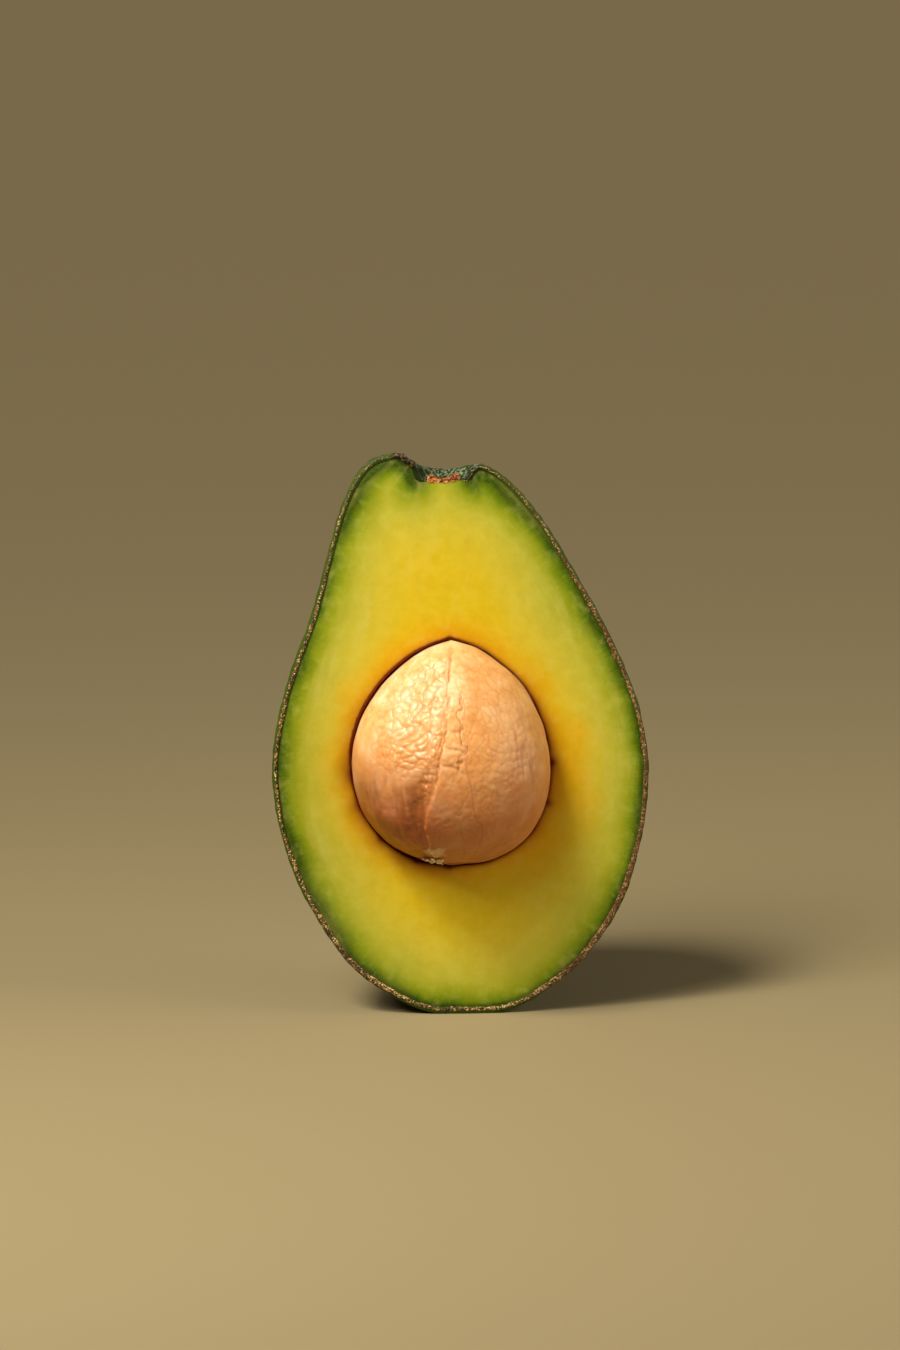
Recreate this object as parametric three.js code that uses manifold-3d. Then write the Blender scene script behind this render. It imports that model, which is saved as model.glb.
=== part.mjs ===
// Half of a green-skinned, pear-shaped avocado with its stone left in, standing upright on its blossom end.
// Millimetres, +Z up. The fruit is grown whole round its own axis, then halved by a knife cut along that
// axis. The cut face looks towards -Y, and the stone stands out of it.
import * as THREE from "three";
import { mergeVertices } from "three/addons/utils/BufferGeometryUtils.js";
import Module from "manifold-3d";

const wasm = await Module();
wasm.setup();

// The fruit's axis runs from the middle of its base to the stem scar, and leans to the left.
const stemHeight = 106.2;
const stemLean = 4.7;
const skinThickness = 1.3;
const seatGap = 0.25; // clearance between pieces that lie against each other
const scarRadius = 3.7;
const scarStandsProud = 0.4; // above the skin round it
// Behind the cut the soft underside has settled under the fruit's weight, which widens its flat spot.
const settling = { depth: 2.2, behind: 9, height: 22 };

// Three lengthwise profiles of the fruit, each from the stem scar over the shoulder and down to the base, as
// [distance from the axis, height]. The same place in each list is the same feature, so the surface between
// two profiles is a smooth blend of them. The cut face is lopsided: its left shoulder is the higher one, its
// left flank is hollow at the waist, and the back of the stem dimple is nearly open.
const fruitRight = [
  [0, 106.2], // stem scar
  [4.0, 107.0], // edge of the scar
  [5.3, 108.6], // wall of the stem dimple
  [7.8, 109.5], // top of the shoulder
  [12.3, 106.8], // outside of the shoulder
  [18.0, 100.3], // neck
  [23.7, 90.6],
  [29.6, 79.5], // waist
  [34.7, 67.6], // hip
  [37.4, 57.4],
  [38.0, 48.2], // belly
  [36.4, 35.9],
  [31.8, 22.2], // haunch
  [23.6, 10.5], // underside
  [14.6, 3.6],
  [6.6, 0], // edge of the flat spot it rests on
  [0, 0],
];
const fruitLeft = [
  [0, 106.2],
  [3.9, 106.7],
  [5.2, 109.7],
  [9.3, 111.8],
  [15.2, 109.4],
  [20.0, 101.9],
  [23.8, 90.6],
  [27.2, 79.5],
  [32.1, 67.6],
  [35.2, 56.8],
  [36.3, 47.8],
  [35.1, 36.0],
  [31.0, 23.6],
  [23.4, 10.5],
  [14.6, 3.6],
  [6.6, 0],
  [0, 0],
];
const fruitBack = [
  [0, 106.2],
  [4.0, 106.4],
  [6.6, 107.0],
  [9.8, 107.5],
  [14.8, 105.6],
  [19.8, 99.4],
  [23.9, 90.2],
  [28.2, 79.5],
  [32.8, 67.6],
  [35.6, 57.0],
  [36.4, 46.5],
  [35.6, 34.4],
  [32.7, 22.0],
  [28.2, 11.4],
  [22.6, 3.6],
  [17.0, 0],
  [0, 0],
];

// The stone is broad below and comes to a blunt point above. Its profiles are [distance from its axis, height
// above its middle], from the point down to the base.
const stoneMiddle = { x: -3.2, z: 52.4 };
const stoneRight = [
  [0, 22.5],
  [4.9, 20.9],
  [9.4, 17.9],
  [14.2, 13.1],
  [18.0, 5.6],
  [19.5, -2.6],
  [18.5, -10.4],
  [14.8, -17.1],
  [8.2, -21.4],
  [0, -22.5],
];
const stoneLeft = [
  [0, 22.5],
  [4.5, 20.9],
  [8.8, 18.3],
  [14.0, 13.2],
  [18.1, 5.9],
  [19.5, -2.2],
  [17.8, -10.6],
  [13.3, -17.0],
  [7.0, -20.9],
  [0, -22.5],
];
const stoneDepth = 0.95; // front to back, as a share of its width

// The seam between the two seed leaves runs down the front of the stone. It has a sideways place at each
// profile point, a groove, and a low lip on the right where one leaf overlaps the other.
const seamPlace = [0, -0.4, -0.9, -1.6, -1.9, -2.9, -4.4, -4.9, -3.2, 0];
const seam = { depth: 1.0, width: 0.9, lipHeight: 0.5, lipPlace: 1.9, lipWidth: 1.4 };
const seamFade = 6; // the seam reaches its full depth a sixth of the way in from each end

const stepsPerSpan = 3; // surface rows between two profile points
const fruitColumns = 40;
const stoneColumns = 48;
const stoneCrowding = 0.75; // how much closer the stone's columns stand along the seam
const scarColumns = 24;

function spline(points) {
  return new THREE.CatmullRomCurve3(
    points.map(([across, height]) => new THREE.Vector3(across, height, 0)),
    false,
    "catmullrom",
    0.5,
  );
}

// A point on a body blended from a right, left and back profile: t runs along the profiles from 0 to 1, and
// turn goes round the axis from the right side over the back to the left.
function blendedPoint(profiles, t, turn) {
  const side = Math.cos(turn);
  const back = Math.sin(turn);
  const flank = (side > 0 ? profiles.right : profiles.left).getPoint(t);
  const rear = profiles.back.getPoint(t);
  const height = flank.y * side * side + rear.y * back * back;
  return new THREE.Vector3(side * flank.x, back * rear.x, height);
}

const fruitProfiles = { right: spline(fruitRight), left: spline(fruitLeft), back: spline(fruitBack) };

function fruitPoint(t, turn) {
  const point = blendedPoint(fruitProfiles, t, turn);
  const behind = THREE.MathUtils.smoothstep(point.y, 0, settling.behind);
  const low = Math.max(1 - point.z / settling.height, 0);
  point.z = Math.max(point.z - settling.depth * behind * low, 0);
  point.x -= (stemLean * point.z) / stemHeight;
  return point;
}

const stoneBack = stoneRight.map(([across, height], i) => {
  const halfWidth = (across + stoneLeft[i][0]) / 2;
  return [stoneDepth * halfWidth, height];
});
const stoneProfiles = { right: spline(stoneRight), left: spline(stoneLeft), back: spline(stoneBack) };
const seamCurve = spline(seamPlace.map((place, i) => [place, i]));

function stonePoint(t, turn) {
  const point = blendedPoint(stoneProfiles, t, turn);
  const fromSeam = point.x - seamCurve.getPoint(t).x;
  const front = Math.max(-Math.sin(turn), 0) * Math.min(1, seamFade * t, seamFade * (1 - t));
  const groove = seam.depth * Math.exp(-((fromSeam / seam.width) ** 2));
  const lip = seam.lipHeight * Math.exp(-(((fromSeam - seam.lipPlace) / seam.lipWidth) ** 2));
  point.y += front * (groove - lip);
  return new THREE.Vector3(point.x + stoneMiddle.x, point.y, point.z + stoneMiddle.z);
}

const evenTurn = (t, share) => 2 * Math.PI * share;

// The stone's columns stand close together at the front, where the middle one follows the seam.
function stoneTurn(t, share) {
  const even = 2 * Math.PI * (share - 0.5);
  const fromFront = even - stoneCrowding * Math.sin(even);
  const seamTurn = Math.asin(seamCurve.getPoint(t).x / stoneProfiles.right.getPoint(t).x);
  return fromFront - Math.PI / 2 + (seamTurn * (1 + Math.cos(fromFront))) / 2;
}

// The surface moved along its own outward normal, which is measured from two near points each way.
function moved(surface, distance) {
  const step = 1e-3;
  return (t, turn) => {
    const point = surface(t, turn);
    const down = surface(Math.min(t + step, 1), turn).sub(surface(Math.max(t - step, 0), turn));
    const round = surface(t, turn + step).sub(surface(t, turn - step));
    const normal = down.cross(round).normalize();
    return point.addScaledVector(normal, distance);
  };
}

function solidOf(geometry) {
  const bare = new THREE.BufferGeometry().setAttribute("position", geometry.getAttribute("position"));
  if (geometry.index) bare.setIndex(geometry.index);
  const merged = mergeVertices(bare, 1e-4);
  return new wasm.Manifold(
    new wasm.Mesh({
      numProp: 3,
      vertProperties: new Float32Array(merged.attributes.position.array),
      triVerts: new Uint32Array(merged.index.array),
    }),
  );
}

function geometryOf(solid) {
  const mesh = solid.getMesh();
  const corners = new THREE.BufferAttribute(new Float32Array(mesh.vertProperties), 3);
  const geometry = new THREE.BufferGeometry().setAttribute("position", corners);
  geometry.setIndex(new THREE.BufferAttribute(new Uint32Array(mesh.triVerts), 1));
  return geometry;
}

// A closed body with a point at each end of its axis and rings of points between them. The ends are given,
// because the surface has no sideways direction there to take a normal from.
function ringBody(surface, turnAt, rows, columns, top, bottom) {
  const corners = [top];
  for (let i = 1; i < rows; i++) {
    const t = i / rows;
    for (let j = 0; j < columns; j++) corners.push(surface(t, turnAt(t, j / columns)));
  }
  corners.push(bottom);
  const last = corners.length - 1;
  const at = (i, j) => 1 + (i - 1) * columns + (j % columns);
  const faces = [];
  for (let j = 0; j < columns; j++) {
    faces.push(0, at(1, j), at(1, j + 1));
    for (let i = 1; i < rows - 1; i++) {
      faces.push(at(i, j), at(i + 1, j), at(i + 1, j + 1));
      faces.push(at(i, j), at(i + 1, j + 1), at(i, j + 1));
    }
    faces.push(last, at(rows - 1, j + 1), at(rows - 1, j));
  }
  const geometry = new THREE.BufferGeometry().setFromPoints(corners);
  geometry.setIndex(faces);
  return solidOf(geometry);
}

const fruitRows = (fruitRight.length - 1) * stepsPerSpan;
const stoneRows = (stoneRight.length - 1) * stepsPerSpan;

// The whole fruit with its surface sunk by a depth.
function wholeFruit(depth) {
  const top = new THREE.Vector3(-stemLean, 0, stemHeight - depth);
  const base = new THREE.Vector3(0, 0, depth);
  return ringBody(moved(fruitPoint, -depth), evenTurn, fruitRows, fruitColumns, top, base);
}

// The whole stone, grown outwards by a margin.
function wholeStone(margin) {
  const reach = stoneRight[0][1] + margin;
  const top = new THREE.Vector3(stoneMiddle.x, 0, stoneMiddle.z + reach);
  const base = new THREE.Vector3(stoneMiddle.x, 0, stoneMiddle.z - reach);
  return ringBody(moved(stonePoint, margin), stoneTurn, stoneRows, stoneColumns, top, base);
}

// A block that holds everything behind the knife cut.
const blockSide = 160;
const behindTheCut = solidOf(
  new THREE.BoxGeometry(blockSide, blockSide, blockSide).translate(0, blockSide / 2, stemHeight / 2),
);

// An upright round plug through the stem dimple, centred on the fruit's axis.
function stemPlug(radius) {
  const plugHeight = 20;
  return solidOf(
    new THREE.CylinderGeometry(radius, radius, plugHeight, scarColumns)
      .rotateX(Math.PI / 2)
      .translate(-stemLean, 0, stemHeight),
  );
}

const fleshDepth = skinThickness + seatGap;

function skin() {
  const shell = wholeFruit(0).subtract(wholeFruit(skinThickness));
  return shell.subtract(stemPlug(scarRadius + seatGap)).intersect(behindTheCut);
}

function flesh() {
  return wholeFruit(fleshDepth).intersect(behindTheCut).subtract(wholeStone(seatGap));
}

function stone() {
  return wholeStone(0);
}

// The dry corky scar where the stalk came off. It fills a hole in the skin, lies in the dimple as the skin
// does, and was halved with the fruit.
function stemScar() {
  const cork = wholeFruit(-scarStandsProud).subtract(wholeFruit(skinThickness));
  return cork.intersect(stemPlug(scarRadius)).intersect(behindTheCut);
}

function piece(name, solid, colour, roughness) {
  const mesh = new THREE.Mesh(
    geometryOf(solid),
    new THREE.MeshStandardMaterial({ color: colour, roughness, metalness: 0 }),
  );
  mesh.name = name;
  return mesh;
}

const avocadoHalf = new THREE.Group();
avocadoHalf.add(
  piece("skin", skin(), 0x2f4a16, 0.45),
  piece("flesh", flesh(), 0xd2c233, 0.5),
  piece("stone", stone(), 0xd9a066, 0.45),
  piece("stem_scar", stemScar(), 0x9a5a2c, 0.9),
);

// The origin is on the surface that the half stands on, under the middle of its bounding box.
const reach = new THREE.Box3().setFromObject(avocadoHalf, true);
const middle = reach.getCenter(new THREE.Vector3());
avocadoHalf.position.set(-middle.x, -middle.y, -reach.min.z);

export default avocadoHalf;
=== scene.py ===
import math

import bpy
import numpy as np
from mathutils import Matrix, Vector, noise


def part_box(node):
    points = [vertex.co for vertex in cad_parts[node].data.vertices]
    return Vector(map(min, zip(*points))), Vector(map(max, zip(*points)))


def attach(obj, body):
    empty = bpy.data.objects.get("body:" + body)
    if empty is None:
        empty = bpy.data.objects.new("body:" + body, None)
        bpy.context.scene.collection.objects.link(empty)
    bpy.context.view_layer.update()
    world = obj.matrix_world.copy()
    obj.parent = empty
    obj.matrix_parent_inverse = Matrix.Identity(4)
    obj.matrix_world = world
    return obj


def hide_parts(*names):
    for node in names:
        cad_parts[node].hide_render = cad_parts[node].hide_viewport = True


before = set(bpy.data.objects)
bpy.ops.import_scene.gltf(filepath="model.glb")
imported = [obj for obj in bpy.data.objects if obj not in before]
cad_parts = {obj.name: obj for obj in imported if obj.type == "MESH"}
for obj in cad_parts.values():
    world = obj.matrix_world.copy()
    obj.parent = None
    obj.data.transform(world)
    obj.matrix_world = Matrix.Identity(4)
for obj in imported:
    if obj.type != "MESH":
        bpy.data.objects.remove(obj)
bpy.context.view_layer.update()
noise.seed_set(6)  # without it vector noise differs from run to run
mm = 0.001

stoneLow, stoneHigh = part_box("stone")
skinLow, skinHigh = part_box("skin")
cutPlane = skinLow.y  # the knife cut, which faces -Y

fruitSpans = 16  # between the points of each of the fruit's profiles

# The fruit, as the solids have it. Its profiles are points [distance from the axis, height], from the stem
# scar down to the base.
fruit = {
    "stemHeight": 106.2,
    "stemLean": 4.7,
    "skinThickness": 1.3,
    "scarEdge": 0.72 / fruitSpans,  # the place along the profiles where the stem scar ends
    "scarThickness": 0.4,
    "settling": {"depth": 2.2, "behind": 9, "height": 22},  # how the underside has sagged behind the cut
    "right": [[0, 106.2], [4.0, 107.0], [5.3, 108.6], [7.8, 109.5], [12.3, 106.8], [18.0, 100.3],
              [23.7, 90.6], [29.6, 79.5], [34.7, 67.6], [37.4, 57.4], [38.0, 48.2], [36.4, 35.9],
              [31.8, 22.2], [23.6, 10.5], [14.6, 3.5], [7.2, 0.35], [0, 0]],
    "left": [[0, 106.2], [3.9, 106.7], [5.2, 109.7], [9.3, 111.8], [15.2, 109.4], [20.0, 101.9],
             [23.8, 90.6], [27.2, 79.5], [32.1, 67.6], [35.2, 56.8], [36.3, 47.8], [35.1, 36.0],
             [31.0, 23.6], [23.4, 10.5], [14.6, 3.5], [7.2, 0.35], [0, 0]],
    "back": [[0, 106.2], [4.0, 106.4], [6.6, 107.0], [9.8, 107.5], [14.8, 105.6], [19.8, 99.4],
             [23.9, 90.2], [28.2, 79.5], [32.8, 67.6], [35.6, 57.0], [36.4, 46.5], [35.6, 34.4],
             [32.7, 22.0], [28.2, 11.4], [22.6, 3.6], [17.0, 0], [0, 0]],
}
# The stone, whose middle is 3.2 mm left of the foot of the fruit's axis, from its point down to its base.
stone = {
    "fromAxis": -3.2,
    "depth": 0.95,  # front to back, as a share of its width
    "right": [[0, 22.5], [4.9, 20.9], [9.4, 17.9], [14.2, 13.1], [18.0, 5.6],
              [19.5, -2.6], [18.5, -10.4], [14.8, -17.1], [8.2, -21.4], [0, -22.5]],
    "left": [[0, 22.5], [4.5, 20.9], [8.8, 18.3], [14.0, 13.2], [18.1, 5.9],
             [19.5, -2.2], [17.8, -10.6], [13.3, -17.0], [7.0, -20.9], [0, -22.5]],
    "seam": [0, -0.4, -0.9, -1.6, -2.4, -4.2, -6.2, -5.4, -3.3, 0],  # sideways place at each profile point
}

stoneMiddle = (stoneLow + stoneHigh) / 2
axisFoot = np.array([stoneMiddle.x - stone["fromAxis"] * mm, cutPlane, skinLow.z])
stoneSeat = np.array([stoneMiddle.x, cutPlane, stoneMiddle.z])


def smoothStep(low, high, value):
    share = np.clip((value - low) / (high - low), 0, 1)
    return share * share * (3 - 2 * share)


def hump(value, middle, width):
    return np.exp(-(((value - middle) / width) ** 2))


def profileAt(points, t):
    knots = np.array(points, float).reshape(len(points), -1)
    knots = np.concatenate([[2 * knots[0] - knots[1]], knots, [2 * knots[-1] - knots[-2]]])
    place = np.clip(t, 0, 1) * (len(points) - 1)
    i = np.minimum(place.astype(int), len(points) - 2)
    f = (place - i)[:, None]
    a, b, c, d = knots[i], knots[i + 1], knots[i + 2], knots[i + 3]
    return b + 0.5 * f * (c - a + f * (2 * a - 5 * b + 4 * c - d + f * (3 * b - a - 3 * c + d)))


# Places that stand evenly along part of a profile, instead of crowding where its points do.
def evenPlaces(points, share, start=0.0, end=1.0):
    t = np.linspace(start, end, 2001)
    steps = np.linalg.norm(np.diff(profileAt(points, t), axis=0), axis=1)
    along = np.concatenate([[0], np.cumsum(steps)])
    return np.interp(share, along / along[-1], t)


def blended(shape, rear, t, turn):
    side, back = np.cos(turn), np.sin(turn)
    flank = np.where(side[:, None] > 0, profileAt(shape["right"], t), profileAt(shape["left"], t))
    behind = profileAt(rear, t)
    height = flank[:, 1] * side**2 + behind[:, 1] * back**2
    return np.stack([side * flank[:, 0], back * behind[:, 0], height], axis=1)


def fruitSurface(t, turn):
    points = blended(fruit, fruit["back"], t, turn)
    settling = fruit["settling"]
    settled = smoothStep(0, settling["behind"], points[:, 1])
    settled *= np.maximum(1 - points[:, 2] / settling["height"], 0)
    points[:, 2] = np.maximum(points[:, 2] - settling["depth"] * settled, 0)
    points[:, 0] -= fruit["stemLean"] * points[:, 2] / fruit["stemHeight"]
    return points


stoneBack = [[stone["depth"] * (a[0] + b[0]) / 2, a[1]] for a, b in zip(stone["right"], stone["left"])]


def stoneSurface(t, turn):
    return blended(stone, stoneBack, t, turn)


# The outward normal of a surface, from near points. At a pole it is straight up or down.
def normalsOf(surface, t, turn):
    step = 1e-3
    inside = np.clip(t, 2 * step, 1 - 2 * step)
    down = surface(inside + step, turn) - surface(inside - step, turn)
    around = surface(inside, turn + step) - surface(inside, turn - step)
    normals = np.cross(down, around)
    normals /= np.linalg.norm(normals, axis=1)[:, None]
    normals[t < 1e-4] = [0, 0, 1]
    normals[t > 1 - 1e-4] = [0, 0, -1]
    return normals


# The skin thins out towards the scar.
def skinDepthAt(t):
    edge = fruit["scarEdge"]
    growth = fruit["skinThickness"] - fruit["scarThickness"]
    return fruit["scarThickness"] + growth * smoothStep(edge, 1.7 * edge, t)


def fruitSunk(t, turn, depth):
    outside = fruitSurface(t, turn)
    points = outside - normalsOf(fruitSurface, t, turn) * np.reshape(depth, (-1, 1))
    points[:, 1] = np.where(np.abs(outside[:, 1]) < 1e-6, 0, points[:, 1])
    return points


def readPoints(piece):
    points = np.empty(len(piece.data.vertices) * 3)
    piece.data.vertices.foreach_get("co", points)
    return points.reshape(-1, 3)


def writePoints(piece, points):
    piece.data.vertices.foreach_set("co", np.ascontiguousarray(points, float).ravel())
    piece.data.update()


def addValues(piece, name, values):
    layer = piece.data.attributes.new(name, "FLOAT", "POINT")
    layer.data.foreach_set("value", np.ascontiguousarray(values, np.float32))


# Smooth noise from -1 to 1.
def noiseAt(points, size, seed=0.0):
    return np.array([noise.noise(Vector(p)) for p in points / size + seed])


# Cells of a cobbled pattern: how far each point is from its cell's border and from its cell's middle.
def cobblesAt(points, size, seed=0.0):
    near = np.array([noise.voronoi(Vector(p))[0][:2] for p in points / size + seed])
    return near[:, 1] - near[:, 0], near[:, 0]


# Points pushed about by smooth noise, which makes a pattern on them irregular.
def warped(points, size, reach, seed=0.0):
    return points + reach * np.array([noise.noise_vector(Vector(p)) for p in points / size + seed])


def deselectAll():
    if bpy.context.object and bpy.context.object.mode != "OBJECT":
        bpy.ops.object.mode_set(mode="OBJECT")
    bpy.ops.object.select_all(action="DESELECT")


# Adds a flat grid to be shaped. Also gives each vertex's share of the way across it and up it.
def addGrid(name, columns, rows):
    deselectAll()
    bpy.ops.mesh.primitive_grid_add(x_subdivisions=columns, y_subdivisions=rows, size=2)
    piece = bpy.context.object
    piece.name = piece.data.name = name
    unit = readPoints(piece)
    return piece, (unit[:, 0] + 1) / 2, (unit[:, 1] + 1) / 2


def startEditing(piece):
    deselectAll()
    piece.select_set(True)
    bpy.context.view_layer.objects.active = piece
    bpy.ops.object.mode_set(mode="EDIT")
    bpy.ops.mesh.select_all(action="SELECT")


# Joins sheets that share their edges into one closed skin whose faces point outwards.
def sewTogether(sheets):
    deselectAll()
    for sheet in sheets:
        sheet.select_set(True)
    bpy.context.view_layer.objects.active = sheets[0]
    if len(sheets) > 1:
        bpy.ops.object.join()
    startEditing(sheets[0])
    bpy.ops.mesh.remove_doubles(threshold=1e-6)
    bpy.ops.mesh.normals_make_consistent(inside=False)
    bpy.ops.object.mode_set(mode="OBJECT")
    bpy.ops.object.shade_smooth()
    return sheets[0]


# The cut edge of the fruit, from the right of the stem round the base to the left of the stem: shares along
# the profiles and turns, for a share along the whole edge.
def roundTheCut(along):
    return 1 - np.abs(1 - 2 * along), np.where(along < 0.5, 0.0, math.pi)


# A closed half shell from the fruit's surface inwards. Its places along the profiles run from start to end,
# one of which is a pole, and shape turns places, turns and shares of the shell's depth into points.
def addHalfShell(name, start, end, columns, rows, steps, shape):
    sheets = []

    def addSheet(across, up, share, turn, depth):
        sheet, a, u = addGrid(name, across, up)
        places = evenPlaces(fruit["right"], share(a, u), start, end)
        writePoints(sheet, shape(places, turn(a, u), depth(a, u)) * mm + axisFoot)
        addValues(sheet, "depth", depth(a, u) * skinDepthAt(places))
        sheets.append(sheet)

    def atEnd(a, u):
        return np.full(len(a), float(start == 0))

    def alongCut(a, u):
        share, turn = roundTheCut(a)
        return 1 - share if start == 0 else share

    for wall in (0.0, 1.0):
        addSheet(columns, rows, lambda a, u: u, lambda a, u: math.pi * a, lambda a, u: np.full(len(a), wall))
    addSheet(2 * rows, steps, alongCut, lambda a, u: roundTheCut(a)[1], lambda a, u: u)
    addSheet(columns, steps, atEnd, lambda a, u: math.pi * a, lambda a, u: u)
    return sewTogether(sheets)


def dress(piece, material, node):
    piece.data.materials.clear()
    piece.data.materials.append(material)
    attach(piece, "root")
    if node:
        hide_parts(node)


def colour(code):
    channels = [int(code[i:i + 2], 16) / 255 for i in (1, 3, 5)]
    linear = [c / 12.92 if c <= 0.04045 else ((c + 0.055) / 1.055) ** 2.4 for c in channels]
    return (*linear, 1.0)


# Adds a node. Sockets are set or linked by name or number, and stops are the colours of a ramp.
def addNode(tree, kind, sockets=None, stops=(), **settings):
    node = tree.nodes.new("ShaderNode" + kind)
    for name, value in settings.items():
        setattr(node, name, value)
    for name, value in (sockets or {}).items():
        if isinstance(value, bpy.types.NodeSocket):
            tree.links.new(value, node.inputs[name])
        else:
            node.inputs[name].default_value = value
    for i, (place, code) in enumerate(stops):
        elements = node.color_ramp.elements
        stop = elements[i] if i < 2 else elements.new(place)
        stop.position = place
        stop.color = colour(code)
    return node


def newMaterial(name):
    material = bpy.data.materials.new(name)
    material.use_nodes = True
    material.node_tree.nodes.clear()
    return material, material.node_tree


# The skin: a leathery shell, with a wavy and finely pebbled outside.
skinLook = {
    "rows": 290,
    "columns": 140,
    "rimSteps": 6,
    "rollSize": 13.0,
    "rollDepth": 0.35,
    "pebbleSize": 3.2,
    "pebbleDepth": 0.14,
    "edgeRound": 0.22,
}


def skinRelief(points):
    rolls = 0.5 - 0.5 * noiseAt(points, skinLook["rollSize"], 3.1)
    valleys = 1 - smoothStep(0, 0.5, cobblesAt(points, skinLook["pebbleSize"], 7.7)[0])
    sink = skinLook["rollDepth"] * rolls + skinLook["pebbleDepth"] * valleys
    return sink * smoothStep(0.2, 5, points[:, 2])


def skinShape(t, turn, share):
    base = fruitSurface(t, turn)
    depth = share * skinDepthAt(t)
    sink = depth + skinRelief(base) * (1 - share)
    points = base - normalsOf(fruitSurface, t, turn) * sink[:, None]
    edge = skinLook["edgeRound"] * (1 - smoothStep(0, 0.45, depth))
    points[:, 1] = np.where(np.abs(base[:, 1]) < 1e-6, edge, points[:, 1])
    return points


def makeSkin(material):
    look = skinLook
    piece = addHalfShell("avocadoSkin", fruit["scarEdge"], 1.0, look["columns"], look["rows"],
                         look["rimSteps"], skinShape)
    dress(piece, material, "skin")


# The line of gritty stone cells in the cut edge of the skin: a thin crumbly ribbon that stands a little
# proud. Its depths are measured from the outside of the fruit.
gritLook = {
    "columns": 3600,
    "rows": 8,
    "grainSize": 0.32,
    "grainHeight": 0.2,
    "outerDepth": 0.54,
    "innerDepth": 1.24,
    "ragged": 0.2,
    "sunk": 0.12,  # its two edges, behind the cut
    "proud": 0.05,  # its middle, before the cut
    "backing": 0.3,
}


def makeGrit(material):
    look = gritLook
    piece, along, across = addGrid("skinGrit", look["columns"], look["rows"])
    share, turn = roundTheCut(along)
    t = evenPlaces(fruit["right"], share, fruit["scarEdge"], 1.0)
    edge = fruitSurface(t, turn)

    # wider round the base, most of all at its right, and narrower at the top
    low = smoothStep(40, 12, edge[:, 2]) * (0.3 + 0.7 * smoothStep(0.5, 6, edge[:, 2]))
    right = smoothStep(5, 25, edge[:, 0])
    high = smoothStep(85, 98, edge[:, 2])
    outer = look["outerDepth"] - 0.1 * low - 0.08 * right + look["ragged"] * noiseAt(edge, 0.55, 1.7)
    inner = look["innerDepth"] + (0.3 + 0.2 * right) * low - 0.18 * high
    inner += look["ragged"] * noiseAt(edge, 0.45, 6.3)
    inner += 0.2 * noiseAt(edge, 4.0, 8.1)
    inner = np.minimum(inner, skinDepthAt(t) + 0.2)
    outer = np.minimum(outer, inner - 0.1)

    # the line all but ends at the torn left side of the notch
    place = t * fruitSpans
    torn = np.where(along > 0.5, smoothStep(3.4, 2.9, place), 0.3 * smoothStep(1.9, 1.3, place))
    outer = outer + (inner - outer) * 0.94 * torn

    points = fruitSunk(t, turn, outer + (inner - outer) * across)
    grains = smoothStep(0, 0.55, cobblesAt(points, look["grainSize"], 2.9)[0])
    bulge = np.sqrt(np.clip(1 - (2 * across - 1) ** 2, 0, 1))
    rise = look["sunk"] + look["proud"] + look["grainHeight"] * grains
    points[:, 1] = look["sunk"] - rise * bulge * (1 - torn)
    writePoints(piece, points * mm + axisFoot)
    solidify = piece.modifiers.new("backing", "SOLIDIFY")
    solidify.thickness = look["backing"] * mm
    solidify.offset = 1
    bpy.ops.object.modifier_apply(modifier=solidify.name)
    sewTogether([piece])
    dress(piece, material, None)


# The flesh: fills the skin, with the cut face and the stone's hollow.
fleshLook = {
    "rows": 280,
    "backColumns": 56,
    "hollowColumns": 56,
    "faceRings": 72,
    "edgeSamples": 1400,
    "edgeLength": 330,  # about how long the cut edge is, all round
    "hollowEdge": 0.6,  # how wide the flesh rounds into the hollow
    "hollowGap": 0.06,
    "widerGaps": [  # towards [sideways, up], by how much, and how narrowly
        ((-0.75, 0.66), 0.34, 3),
        ((-0.40, -0.92), 0.42, 5),
        ((0.62, 0.78), 0.16, 6),
    ],
    "hollowMiddle": 54,  # above the floor
    "skinDip": 0.16,
    "waveSize": 16.0,
    "waveDepth": 0.12,
    # the notch's place is also the middle of the painted shade in that fold
    "notch": (-9.8, 107.6),  # where the skin folds in at the left of the stem
    "stains": [  # place and size
        (-16.9, 35.6, 0.9),
        (16.7, 50.4, 0.8),
        (16.1, 42.2, 0.9),
        (-10.0, 31.2, 0.8),
    ],
}


# The hollow is a little larger than the stone, most of all at its upper left, where the two came apart.
def hollowSurface(t, turn):
    points = stoneSurface(t, turn)
    normals = normalsOf(stoneSurface, t, turn)
    margin = fleshLook["hollowGap"]
    for direction, most, narrow in fleshLook["widerGaps"]:
        toward = np.clip(normals[:, 0] * direction[0] + normals[:, 2] * direction[1], 0, 1)
        margin = margin + most * toward**narrow
    closed = smoothStep(0.1, 1.5, points[:, 1]) * smoothStep(-14, -6, points[:, 2])
    return points + normals * (margin * (1 - 0.8 * closed))[:, None]


# The two edges of the cut face, under the skin and round the hollow, and their places along the profiles.
def faceEdges(along):
    share, turn = roundTheCut(along)
    t = evenPlaces(fruit["right"], share)
    outline = fruitSunk(t, turn, skinDepthAt(t))
    rim = hollowSurface(evenPlaces(stone["right"], share), turn) + (stoneSeat - axisFoot) / mm
    return outline, rim, t


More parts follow.
